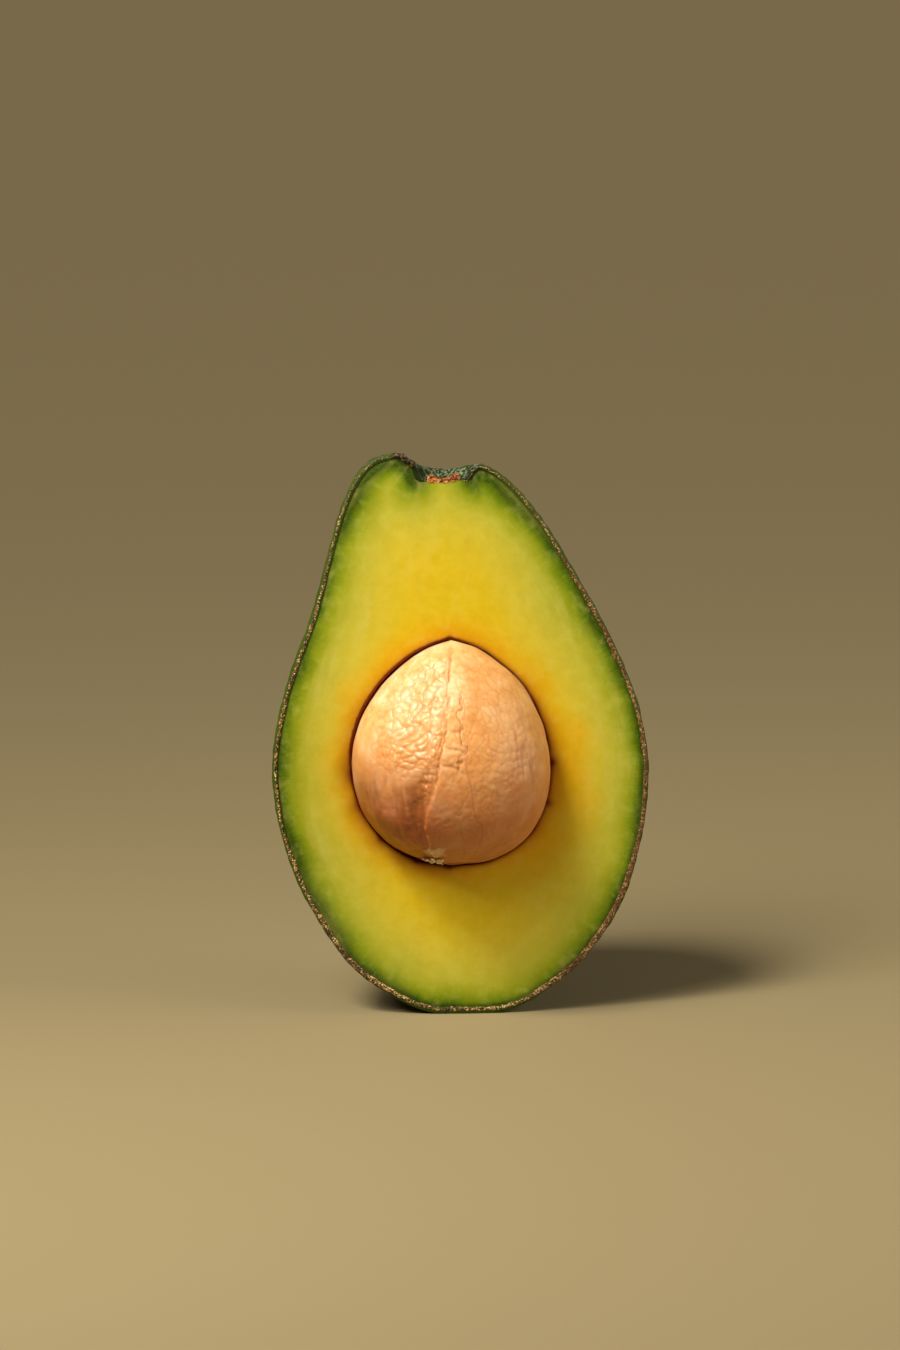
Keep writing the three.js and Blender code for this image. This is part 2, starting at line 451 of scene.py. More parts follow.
def addFleshBody():
    look = fleshLook
    back, across, down = addGrid("avocadoFlesh", look["backColumns"], look["rows"])
    t = evenPlaces(fruit["right"], down)
    writePoints(back, fruitSunk(t, math.pi * across, skinDepthAt(t)) * mm + axisFoot)
    hollow, across, down = addGrid("hollow", look["hollowColumns"], look["rows"])
    inHollow = hollowSurface(evenPlaces(stone["right"], down), math.pi * across)
    writePoints(hollow, inHollow * mm + stoneSeat)
    face, along, inward = addGrid("cutFace", 2 * look["rows"], look["faceRings"])
    outline, rim = faceEdges(along)[:2]
    inward = 0.5 - 0.5 * np.cos(math.pi * inward)  # the rings crowd at both edges
    writePoints(face, (outline + (rim - outline) * inward[:, None]) * mm + axisFoot)
    return sewTogether([back, hollow, face])


# How far each point of the cut face is from the skin, from the stone and round the cut edge.
def measureFace(points, onFace, outline, rim, t):
    underScar = 6 * smoothStep(1.6 * fruit["scarEdge"], 0.8 * fruit["scarEdge"], t)  # no green there
    fromSkin, fromStone, around = np.zeros((3, len(points)))
    for some in np.array_split(np.nonzero(onFace)[0], 12):
        here = points[some][:, None, ::2]
        gaps = np.linalg.norm(here - outline[None, :, ::2], axis=2) + underScar
        fromSkin[some] = gaps.min(axis=1)
        around[some] = gaps.argmin(axis=1) * (fleshLook["edgeLength"] / len(t))
        fromStone[some] = np.linalg.norm(here - rim[None, :, ::2], axis=2).min(axis=1)
    return fromSkin, fromStone, around


# A measure across the fruit that follows its sides: -30 at the left edge of the face and 30 at the right.
def flowAcross(x, z, outline):
    half = len(outline) // 2
    edges = []
    for side in (outline[:half], outline[::-1][:half]):
        below = side[np.argmax(side[:, 2] < 103):]
        edges.append(np.interp(-z, -below[:, 2], below[:, 0]))
    middle, width = (edges[0] + edges[1]) / 2, (edges[0] - edges[1]) / 2
    return 30 * (x - middle) / width


def makeFlesh(material):
    look = fleshLook
    body = addFleshBody()
    points = (readPoints(body) - axisFoot) / mm
    x, z = points[:, 0], points[:, 2]
    onFace = np.abs(points[:, 1]) < 1e-4
    outline, rim, t = faceEdges(np.linspace(0, 1, look["edgeSamples"]))
    fromSkin, fromStone, around = measureFace(points, onFace, outline, rim, t)
    addValues(body, "fromSkin", fromSkin)
    addValues(body, "fromStone", fromStone)
    addValues(body, "around", around)
    addValues(body, "intoHollow", np.where(onFace, 0, points[:, 1]))
    addValues(body, "flow", flowAcross(x, z, outline))
    addValues(body, "height", z)
    besideStem = x + fruit["stemLean"]
    addValues(body, "belowStem", np.hypot(besideStem, z - fruit["stemHeight"]))
    addValues(body, "fan", np.arctan2(besideStem, fruit["stemHeight"] + 12 - z) * 60)

    # the green reaches further in at the shoulders, the right of the neck and the lower left; painted shade
    # darkens the notch
    shoulders = smoothStep(3, 9, np.abs(besideStem)) * smoothStep(92, 104, z)
    rightNeck = np.minimum(fromSkin, 8) * smoothStep(4, 20, x) * smoothStep(66, 84, z)
    lowerLeft = smoothStep(44, 30, z) * smoothStep(-6, -20, x)
    notchX, notchZ = look["notch"]
    # painted shade: the flesh darkened to deep green in the fold of the notch, where shade falls
    notch = np.exp(-(((x - notchX) / 1.5) ** 2) - ((z - notchZ) / 2.0) ** 2)
    addValues(body, "greenShiftAndShade", -0.24 * rightNeck - 1.7 * shoulders - 0.8 * lowerLeft - 5 * notch)
    # the gold reaches further out below the right of the stone: partly the flesh's own gold, partly painted
    # shadow of the stone
    rightOfStone = smoothStep(7, 15, x) * smoothStep(66, 56, z) * smoothStep(18, 30, z)
    addValues(body, "fromGoldAndShadow", fromStone * (1 - 0.45 * rightOfStone))

    # brown at the hollow's edge, wider at the left and the right, with a few stains
    brownWidth = 0.42 + 1.2 * smoothStep(2, -14, x + 3) * smoothStep(72, 52, z)
    brownWidth += 0.7 * smoothStep(8, 18, x)
    blotches = 0.75 + 0.5 * noiseAt(points, 3.5, 5.5)
    browning = blotches * np.exp(-fromStone / brownWidth)
    for stainX, stainZ, size in look["stains"]:
        browning += 0.6 * blotches * np.exp(-((x - stainX) ** 2 + (z - stainZ) ** 2) / size**2)

    # seed coat left along the upper left of the hollow's edge, and a pale film inside its upper right
    besideStone, aboveStone = x - stone["fromAxis"], z - look["hollowMiddle"]
    toUpperLeft = (0.66 * aboveStone - 0.75 * besideStone) / np.hypot(aboveStone, besideStone).clip(1)
    coat = smoothStep(0.8, 0.25, fromStone + 0.12 * noiseAt(points, 0.8, 3.2))
    coat *= smoothStep(0.2, 0.75, toUpperLeft)
    addValues(body, "browning", np.clip(np.maximum(browning, coat), 0, 1))
    addValues(body, "film", smoothStep(2, 6, besideStone) * smoothStep(61, 64, z) * (fromStone < 0.3))

    nearEdge = 1 - np.clip(fromStone / look["hollowEdge"], 0, 1)
    rounding = look["hollowEdge"] * (1 - np.sqrt(1 - nearEdge**2)) * 0.7
    dip = look["skinDip"] * (1 - smoothStep(0, 0.9, fromSkin))
    waves = look["waveDepth"] * np.abs(noiseAt(points, look["waveSize"], 1.3)) * smoothStep(0.5, 6, fromSkin)
    points[:, 1] += np.where(onFace, rounding + dip + waves, 0)
    writePoints(body, points * mm + axisFoot)
    dress(body, material, "flesh")


# The stone: two seed leaves that meet at a seam. The left one is pebbled and wrinkled, the right one smooth.
stoneLook = {
    "rows": 275,
    "columns": 350,
    "crowding": 0.62,  # how much closer the columns stand at the front
    "stripWidth": 3.0,
    "scaleHeight": 3.3,
    "puckerSize": 1.9,
    "smallPuckerSize": 1.15,
    "lumpSize": 1.1,
    "cellSize": 1.8,
    "veinSize": 3.4,
    "crust": (-3.9, -18.2),  # its middle, sideways and up from the stone's
    "highest": 0.45,  # how far the relief stands out at most, without the crust
    "heights": {"domes": 0.36, "creases": -0.15, "ridges": 0.26, "folds": 0.34, "scales": 0.2, "lumps": 0.14,
                "softDomes": 0.13, "softCells": -0.05, "veins": -0.05},
}


# The seam: a notched crack above, and below it the right leaf laps over a sunken strip of the left one. Here
# and below, side is how far right of the seam a point is.
def seamForms(points, side, low):
    notched = 0.7 + 0.6 * noiseAt(points, 1.3, 7.4)
    groove = 0.26 * notched * hump(side, 0, 0.2) + 0.12 * hump(side, -0.2, 0.7)
    lap = (0.1 + 0.36 * low) * smoothStep(-0.4, 0.9, side) * np.exp(-np.clip(side, 0, None) / 3.2)
    trough = 0.34 * low * smoothStep(-17, -12, points[:, 2]) * hump(side, -1.9, 1.3)
    return groove, lap, trough


# A strip of flat scales beside the seam, with the cracks between them and along its far edge.
def scaleForms(z, side, wander, loose):
    stripEdge = stoneLook["stripWidth"] + 0.9 * smoothStep(5.2, 3.6, z)
    onStrip = smoothStep(15.5, 13, z) * smoothStep(-1.0, 0.8, z)
    between = smoothStep(0.1, 0.6, side) * smoothStep(stripEdge + 0.3, stripEdge - 0.4, side)
    upOneScale = (loose[:, 2] + 0.3 * side + 0.2) % stoneLook["scaleHeight"]
    fromCrack = upOneScale - stoneLook["scaleHeight"] / 2
    crack = 0.18 * hump(side + 1.1 * wander, stripEdge, 0.2) * onStrip
    crack += 0.13 * hump(fromCrack, 0, 0.22) * between * onStrip
    return crack, smoothStep(0, 1.1, np.abs(fromCrack)) * between * onStrip


# Puckers on the left leaf: irregular above, small beside the seam, and drawn out level lower down.
def puckerForms(points, side, seam, loose):
    x, z = points[:, 0], points[:, 2]
    onLeft = smoothStep(-0.2, -1.2, side) * smoothStep(-18.5, -14, x) * smoothStep(22, 18, z) * seam
    puckered = onLeft * smoothStep(-4, 2, z)
    level = smoothStep(7, 4, z) * smoothStep(-14, -11, x)
    stretch = np.stack([1 - 0.45 * level, np.ones(len(x)), 1 + 0.35 * level], axis=1)
    edge, core = cobblesAt(loose * stretch, stoneLook["puckerSize"], 4.2)
    creases = (1 - smoothStep(0, 0.2, edge)) * puckered
    domes = (0.35 * smoothStep(0, 0.5, edge) - 0.6 * core**2) * puckered
    edge, core = cobblesAt(warped(points, 1.2, 0.4, 6.0), stoneLook["smallPuckerSize"], 1.2)
    beside = hump(side, -1.5, 1.3) * smoothStep(10, 7, z) * smoothStep(-8, -4, z) * seam
    creases = np.maximum(creases * (1 - beside), (1 - smoothStep(0, 0.3, edge)) * beside)
    domes = domes * (1 - beside) + (0.25 - core**2) * beside
    drawnDown = points * np.array([1.0, 1, 0.34])
    ridges = (noiseAt(drawnDown, 2.6, 3.3) + 0.5 * noiseAt(drawnDown, 0.9, 4.7)) * onLeft
    ridges *= smoothStep(1, -4, z)
    folds = np.abs(noiseAt(points * np.array([1.0, 1, 1.3]), 2.4, 7.2)) * puckered
    return {"creases": creases, "domes": domes, "ridges": ridges, "folds": folds}, puckered


# The right leaf: broad soft cells, and fine veins that run together at both ends.
def rightLeafForms(points, turn, side, ends, front):
    z = points[:, 2]
    calm = smoothStep(0.8, 3.0, side) * ends * front * (0.25 + 0.75 * smoothStep(-10, 4, z))
    edge, core = cobblesAt(warped(points, 2.0, 0.5, 8.0), stoneLook["cellSize"], 8.3)
    softCells = (1 - smoothStep(0, 0.24, edge)) * calm
    widest = max(width for width, height in stone["right"])
    unrolled = np.stack([turn * widest, z * 0.16, np.zeros(len(z))], axis=1)
    veinNoise = noiseAt(warped(unrolled, 4.0, 0.9, 1.1), stoneLook["veinSize"], 2.2)
    veins = hump(veinNoise, 0, 0.04) * ends * smoothStep(-0.35, 0.3, noiseAt(points, 5.5, 3.9))
    veins *= smoothStep(3.0, 6.0, side) * smoothStep(15, 6, z)
    return {"softCells": softCells, "softDomes": (0.25 - core**2) * calm, "veins": veins}


def makeStone(material):
    look = stoneLook
    piece, across, down = addGrid("avocadoStone", look["columns"], look["rows"])
    t = evenPlaces(stone["right"], down)
    even = 2 * math.pi * (across - 0.5)
    turn = even - look["crowding"] * np.sin(even) - math.pi / 2  # the middle column faces the front
    points = stoneSurface(t, turn)
    normals = normalsOf(stoneSurface, t, turn)
    x, z = points[:, 0], points[:, 2]
    ends = smoothStep(0, 0.1, down) * smoothStep(1, 0.92, down)
    front = np.clip(-np.sin(turn), 0, 1)
    seam = front * ends
    wander = 0.5 * noiseAt(points, 3.0, 5.0) + 0.5 * noiseAt(points, 1.0, 9.0)
    side = x - profileAt(stone["seam"], t)[:, 0] + wander
    low = smoothStep(3, -7, z)
    loose = warped(points, 1.7, 0.55, 2.0)
    groove, lap, trough = seamForms(points, side, low)
    crack, scales = scaleForms(z, side, wander, loose)
    crack *= seam
    forms, puckered = puckerForms(points, side, seam, loose)
    forms.update(rightLeafForms(points, turn, side, ends, front))
    forms["scales"] = seam * scales

    # faint small lumps all over, and a frayed crust of seed coat at the foot of the seam
    core = cobblesAt(warped(points, 1.5, 0.6, 3.0), look["lumpSize"], 5.6)[1]
    forms["lumps"] = (0.25 - core**2) * front * ends * (1 - 0.6 * puckered)
    crustX, crustZ = look["crust"]
    crusted = hump(x, crustX, 2.2) * hump(z, crustZ, 1.4) + 0.35 * noiseAt(points, 1.2, 6.6)
    crust = smoothStep(0.2, 0.8, crusted) * front
    frayed = crust * (0.2 + np.abs(noiseAt(points, 0.55, 2.6)))

    relief = seam * (lap - groove - trough) - crack
    relief += sum(height * forms[name] for name, height in look["heights"].items())
    relief += 0.16 * noiseAt(points, 5.0, 6.1) + 0.05 * noiseAt(points, 1.6, 0.7) - 0.1
    relief -= 1.3 * smoothStep(-9, -20, z) * front
    relief = np.minimum(relief, look["highest"]) + 0.6 * frayed
    writePoints(piece, (points + normals * relief[:, None]) * mm + stoneSeat)

    # painted shade in the seam's groove, the cracks between the scales and the creases of the puckers and
    # cells
    creaseShade = 2 * seam * groove * (1 - 0.95 * low) + 2.6 * crack + 0.55 * forms["creases"]
    # painted shade in the valleys between the lower left leaf's ridges and in the sunken strip under the lap
    sink = 0.5 - forms["ridges"] - 0.4 * noiseAt(points, 4.5, 8.8)
    valleyShade = smoothStep(0, 1, sink) * smoothStep(3, -6, z) * smoothStep(1, -2, side) + 1.2 * trough
    addValues(piece, "creaseShade", np.clip(creaseShade + 0.3 * forms["softCells"], 0, 1))
    addValues(piece, "valleyShade", np.clip(valleyShade, 0, 1))
    addValues(piece, "crust", crust)
    addValues(piece, "vein", forms["veins"])
    addValues(piece, "side", side)
    addValues(piece, "height", z)
    sewTogether([piece])
    dress(piece, material, "stone")


# Places for flat bits that lie along a surface: each has a size, a turn and a tilt of its own.
def layFlat(draw, look, middles, normals):
    places = []
    for middle, normal in zip(middles, normals):
        size = draw.uniform(*look["lengths"]), draw.uniform(*look["widths"]), look["thickness"]
        lying = Vector(normal).to_track_quat("Z", "Y").to_euler()
        lying.rotate_axis("Z", draw.uniform(*look["turns"]))
        lying.rotate_axis("X", draw.uniform(-look["tilt"], look["tilt"]))
        places.append((middle, size, lying))
    return places


# Flat bits in one piece, each with its own place, size and turn. Places and sizes are in millimetres.
def scatter(name, places):
    bits = []
    for place, size, turn in places:
        deselectAll()
        bpy.ops.mesh.primitive_cube_add(size=2)
        bit = bpy.context.object
        bit.location = Vector(place) * mm
        bit.scale = Vector(size) * mm
        bit.rotation_euler = turn
        bits.append(bit)
    deselectAll()
    for bit in bits:
        bit.select_set(True)
    bpy.context.view_layer.objects.active = bits[0]
    bpy.ops.object.join()
    bpy.ops.object.transform_apply(location=True, rotation=True, scale=True)
    piece = bpy.context.object
    piece.name = piece.data.name = name
    return piece


# Fuses what overlaps in a piece into one closed skin with faces of about the given size.
def fuse(piece, size):
    remesh = piece.modifiers.new("fuse", "REMESH")
    remesh.mode = "VOXEL"
    remesh.voxel_size = size * mm
    bpy.ops.object.modifier_apply(modifier=remesh.name)
    bpy.ops.object.shade_smooth()


# Pushes a surface in and out by smooth noise of the given size and reach.
def roughen(piece, size, reach):
    points = readPoints(piece)
    normals = np.array([vertex.normal for vertex in piece.data.vertices])
    writePoints(piece, points + normals * (reach * mm * noiseAt(points / mm, size, 1.9))[:, None])


# Loose flakes of the dry seed coat, over the crust at the foot of the stone's seam.
flakeLook = {
    "seed": 5,
    "count": 34,
    "middle": (-3.9, 0.852),  # sideways, and as a share of the way down the stone
    "spread": (2.0, 0.025),
    "lengths": (0.15, 0.5),  # of half a flake, as are widths and thickness
    "widths": (0.15, 0.4),
    "thickness": 0.09,
    "turns": (0, math.pi),
    "tilt": 0.7,
    "sunk": 0.7,
    "voxel": 0.1,
}


def makeFlakes(material):
    look = flakeLook
    draw = np.random.default_rng(look["seed"])
    away = draw.uniform(-1, 1, (look["count"], 2)) * look["spread"] + look["middle"]
    t = evenPlaces(stone["right"], away[:, 1])
    turn = np.arcsin(away[:, 0] / profileAt(stone["left"], t)[:, 0]) - math.pi / 2
    normals = normalsOf(stoneSurface, t, turn)
    middles = stoneSurface(t, turn) - normals * look["sunk"] + stoneSeat / mm
    piece = scatter("seedCoatFlakes", layFlat(draw, look, middles, normals))
    fuse(piece, look["voxel"])
    roughen(piece, 0.4, 0.1)
    dress(piece, material, None)


# Plates of cracked, dried rind on the left shoulder, where the skin has torn.
plateLook = {
    "seed": 11,
    "count": 22,
    "along": (2.0, 3.0),  # the stretch of the left profile, in its points
    "around": (-0.02, 0.07),  # turned back from the cut
    "sunk": (0.3, 0.9),
    "lengths": (0.35, 0.95),  # of half a plate, as are widths and thickness
    "widths": (0.25, 0.5),
    "thickness": 0.16,
    "turns": (-0.8, 0.8),
    "tilt": 0.9,
    "voxel": 0.14,
}


def makePlates(material):
    look = plateLook
    draw = np.random.default_rng(look["seed"])
    t = draw.uniform(*look["along"], look["count"]) / fruitSpans
    turn = math.pi - draw.uniform(*look["around"], look["count"])
    normals = normalsOf(fruitSurface, t, turn)
    deep = draw.uniform(*look["sunk"], look["count"])
    middles = fruitSurface(t, turn) - normals * deep[:, None] + axisFoot / mm
    piece = scatter("crackedRindPlates", layFlat(draw, look, middles, normals))
    fuse(piece, look["voxel"])
    roughen(piece, 0.5, 0.14)
    points = readPoints(piece)
    points[:, 2] = np.minimum(points[:, 2], skinHigh.z - 0.05 * mm)
    writePoints(piece, points)
    dress(piece, material, None)


# The corky scar where the stalk came off, torn and fibrous.
scarLook = {
    "columns": 60,
    "rows": 26,
    "steps": 12,
    "proud": 0.85,
    "roughSize": 0.55,
    "roughDepth": 1.1,
}


def scarShape(t, turn, share):
    look = scarLook
    base = fruitSurface(t, turn)
    rough = look["roughDepth"] * np.abs(noiseAt(base * np.array([1.6, 1, 0.8]), look["roughSize"], 4.4))
    outward = np.abs(base[:, 0] + fruit["stemLean"])
    proud = look["proud"] * (0.2 + 0.8 * smoothStep(0.6, 2.6, outward))
    depth = share * (proud + fruit["scarThickness"] + 0.1) - proud + rough * (1 - share)
    points = base - normalsOf(fruitSurface, t, turn) * depth[:, None]
    pits = 0.7 * np.abs(noiseAt(points * np.array([1.3, 1, 0.6]), 0.5, 9.1))
    points[:, 1] = np.where(np.abs(base[:, 1]) < 1e-6, pits - 0.15, points[:, 1])
    return points


def makeScar(material):
    look = scarLook
    piece = addHalfShell("stemScarCork", 0.0, 1.05 * fruit["scarEdge"], look["columns"], look["rows"],
                         look["steps"], scarShape)
    dress(piece, material, "stem_scar")


# Avocado rind, grown and waxy: dark green with pale breathing pores about 2.3 mm apart, and a soft low gloss
# on leathery grain of 0.8 mm. Round the stem it is drawn into pale streaks, and painted shade darkens the
# hollow there.
def rindMaterial():
    material, tree = newMaterial("Waxy avocado rind")
    place = addNode(tree, "TexCoord").outputs["Object"]
    mottle = addNode(tree, "TexNoise", {"Vector": place, "Scale": 110.0, "Detail": 5.0, "Roughness": 0.6})
    base = addNode(tree, "ValToRGB", {"Fac": mottle.outputs["Fac"]},
                   [(0.3, "#283804"), (0.5, "#3c4e08"), (0.72, "#546810")])
    pores = addNode(tree, "TexVoronoi", {"Vector": place, "Scale": 430.0, "Randomness": 1.0})
    poreKind = addNode(tree, "SeparateColor", {"Color": pores.outputs["Color"]})
    poreSize = addNode(tree, "MapRange", {"Value": poreKind.outputs["Red"], "To Min": 0.06, "To Max": 0.2})
    poreGap = addNode(tree, "Math", {0: poreSize.outputs["Result"], 1: pores.outputs["Distance"]},
                      operation="SUBTRACT")
    porePaint = addNode(tree, "MapRange", {"Value": poreGap.outputs[0], "From Min": -0.03, "From Max": 0.04})
    poreShare = addNode(tree, "Math", {0: porePaint.outputs["Result"], 1: 0.55}, operation="MULTIPLY")
    dotted = addNode(tree, "Mix", {0: poreShare.outputs[0], 6: base.outputs["Color"], 7: colour("#8a9250")},
                     data_type="RGBA")
    stemPlace = tuple(axisFoot + np.array([-fruit["stemLean"], 0, fruit["stemHeight"]]) * mm)
    stemGap = addNode(tree, "VectorMath", {0: place, 1: stemPlace}, operation="DISTANCE")
    nearStem = addNode(tree, "MapRange", {"Value": stemGap.outputs["Value"], "From Min": 0.011,
                       "From Max": 0.0075})
    drawn = addNode(tree, "Mapping", {"Vector": place, "Scale": (1800.0, 900.0, 160.0)})
    streaks = addNode(tree, "TexNoise", {"Vector": drawn.outputs[0], "Scale": 1.0, "Detail": 2.0})
    streakShare = addNode(tree, "MapRange", {"Value": streaks.outputs["Fac"], "From Min": 0.46,
                          "From Max": 0.62, "To Max": 0.7})
    stemShare = addNode(tree, "Math", {0: nearStem.outputs["Result"], 1: streakShare.outputs["Result"]},
                        operation="MULTIPLY")
    # painted shade: the rind darkened in the hollow round the stem, where shade falls
    hollowShare = addNode(tree, "Math", {0: nearStem.outputs["Result"], 1: 0.7}, operation="MULTIPLY")
    stemShaded = addNode(tree, "Mix", {0: hollowShare.outputs[0], 6: dotted.outputs[2], 7: colour("#182208")},
                       data_type="RGBA")
    streaked = addNode(tree, "Mix", {0: stemShare.outputs[0], 6: stemShaded.outputs[2], 7: colour("#8f9a80")},
                       data_type="RGBA")
    depth = addNode(tree, "Attribute", attribute_name="depth")
    inRim = addNode(tree, "MapRange", {"Value": depth.outputs["Fac"], "From Min": 0.02, "From Max": 0.25})
    torn = addNode(tree, "MapRange", {"Value": stemGap.outputs["Value"], "From Min": 0.012,
                   "From Max": 0.007})
    rimTone = addNode(tree, "Mix", {0: torn.outputs["Result"], 6: colour("#384e04"), 7: colour("#1c2a0a")},
                      data_type="RGBA")
    rim = addNode(tree, "Mix", {0: inRim.outputs["Result"], 6: streaked.outputs[2], 7: rimTone.outputs[2]},
                  data_type="RGBA")
    grain = addNode(tree, "TexVoronoi", {"Vector": place, "Scale": 1300.0}, feature="SMOOTH_F1")
    poreHeight = addNode(tree, "Math", {0: porePaint.outputs["Result"], 1: 1.5}, operation="MULTIPLY")
    height = addNode(tree, "Math", {0: poreHeight.outputs[0], 1: grain.outputs["Distance"]}, operation="ADD")
    relief = addNode(tree, "Bump", {"Height": height.outputs[0], "Strength": 0.35, "Distance": 0.0002})
    shader = addNode(tree, "BsdfPrincipled", {"Base Color": rim.outputs[2], "Roughness": 0.5,
                     "Specular IOR Level": 0.15, "Normal": relief.outputs["Normal"]})
    addNode(tree, "OutputMaterial", {"Surface": shader.outputs[0]})
    return material


# Stone cells in cut rind: dry tan and brown grit, in specks of 0.25 mm; the palest specks are partly pale
# grains and partly painted glints.
def gritMaterial():
    material, tree = newMaterial("Gritty rind edge")
    place = addNode(tree, "TexCoord").outputs["Object"]
    specks = addNode(tree, "TexVoronoi", {"Vector": place, "Scale": 4000.0})
    hue = addNode(tree, "SeparateColor", {"Color": specks.outputs["Color"]})
    bands = addNode(tree, "TexNoise", {"Vector": place, "Scale": 260.0, "Detail": 3.0})
    mixed = addNode(tree, "Math", {0: bands.outputs["Fac"], 1: 0.9, 2: -0.42}, operation="MULTIPLY_ADD")
    toneShare = addNode(tree, "Math", {0: hue.outputs["Red"], 1: mixed.outputs[0]}, operation="ADD")
    # the palest stop is partly pale grain and partly painted glint
    tone = addNode(tree, "ValToRGB", {"Fac": toneShare.outputs[0]},
                   [(0.0, "#181004"), (0.32, "#3c2a08"), (0.55, "#624812"), (0.76, "#947032"),
                    (0.94, "#dcb878")])
    sides = addNode(tree, "SeparateXYZ", {"Vector": place})
    toRight = addNode(tree, "MapRange", {"Value": sides.outputs["X"], "From Min": 0.008, "From Max": 0.03,
                      "To Max": 0.5})
    ruddy = addNode(tree, "Mix", {0: toRight.outputs["Result"], 6: tone.outputs["Color"],
                    7: colour("#70400c")}, data_type="RGBA")
    toTop = addNode(tree, "MapRange", {"Value": sides.outputs["Z"], "From Min": 0.09, "From Max": 0.106,
                    "To Max": 0.5})
    shaded = addNode(tree, "Mix", {0: toTop.outputs["Result"], 6: ruddy.outputs[2], 7: colour("#3c3410")},
                     data_type="RGBA")
    shader = addNode(tree, "BsdfPrincipled", {"Base Color": shaded.outputs[2], "Roughness": 0.6})
    addNode(tree, "OutputMaterial", {"Surface": shader.outputs[0]})
    return material


